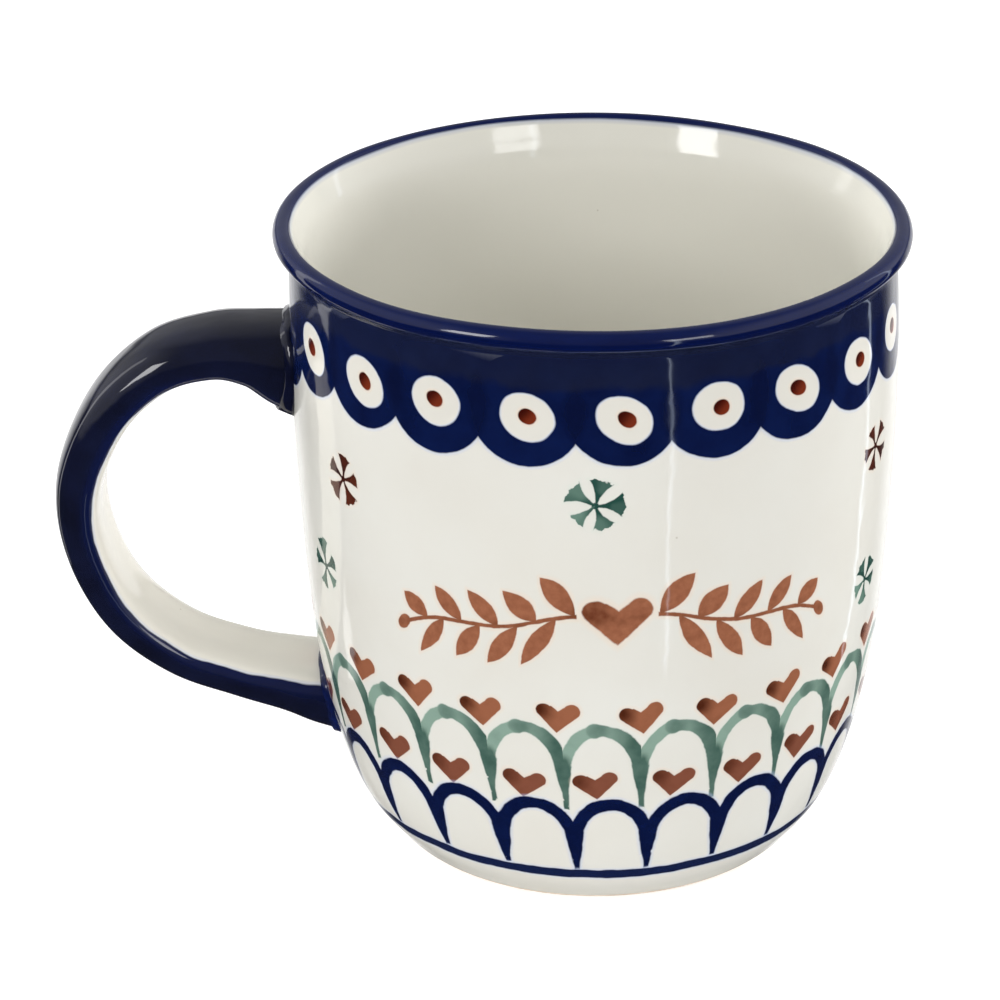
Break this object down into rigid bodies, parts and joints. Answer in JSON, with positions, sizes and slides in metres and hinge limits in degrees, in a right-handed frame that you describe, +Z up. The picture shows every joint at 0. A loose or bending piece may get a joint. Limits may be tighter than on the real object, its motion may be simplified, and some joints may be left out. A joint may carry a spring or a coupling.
{
  "type": "decorated stoneware mug",
  "caption": "Round-bodied folk-craft stoneware mug with a rolled blue lip, a pulled strap handle and stamped and brushed glaze decoration.",
  "frame": {"origin": "centre of the bare foot ring's resting plane, on the cup's axis", "axes": "+Z up through the mouth, -X towards the handle, -Y towards the decorated front"},
  "size_m": [0.1253, 0.0908, 0.094],
  "materials": {
    "body_glaze": "clear gloss glaze over white stoneware",
    "handle_glaze": "clear gloss glaze over dark cobalt",
    "joint_glaze": "clear gloss glaze over cobalt"
  },
  "bodies": {
    "root": {"cup_body": "body_glaze", "handle": "handle_glaze", "upper_slip_joint": "joint_glaze", "lower_slip_joint": "joint_glaze"}
  },
  "joints": []
}
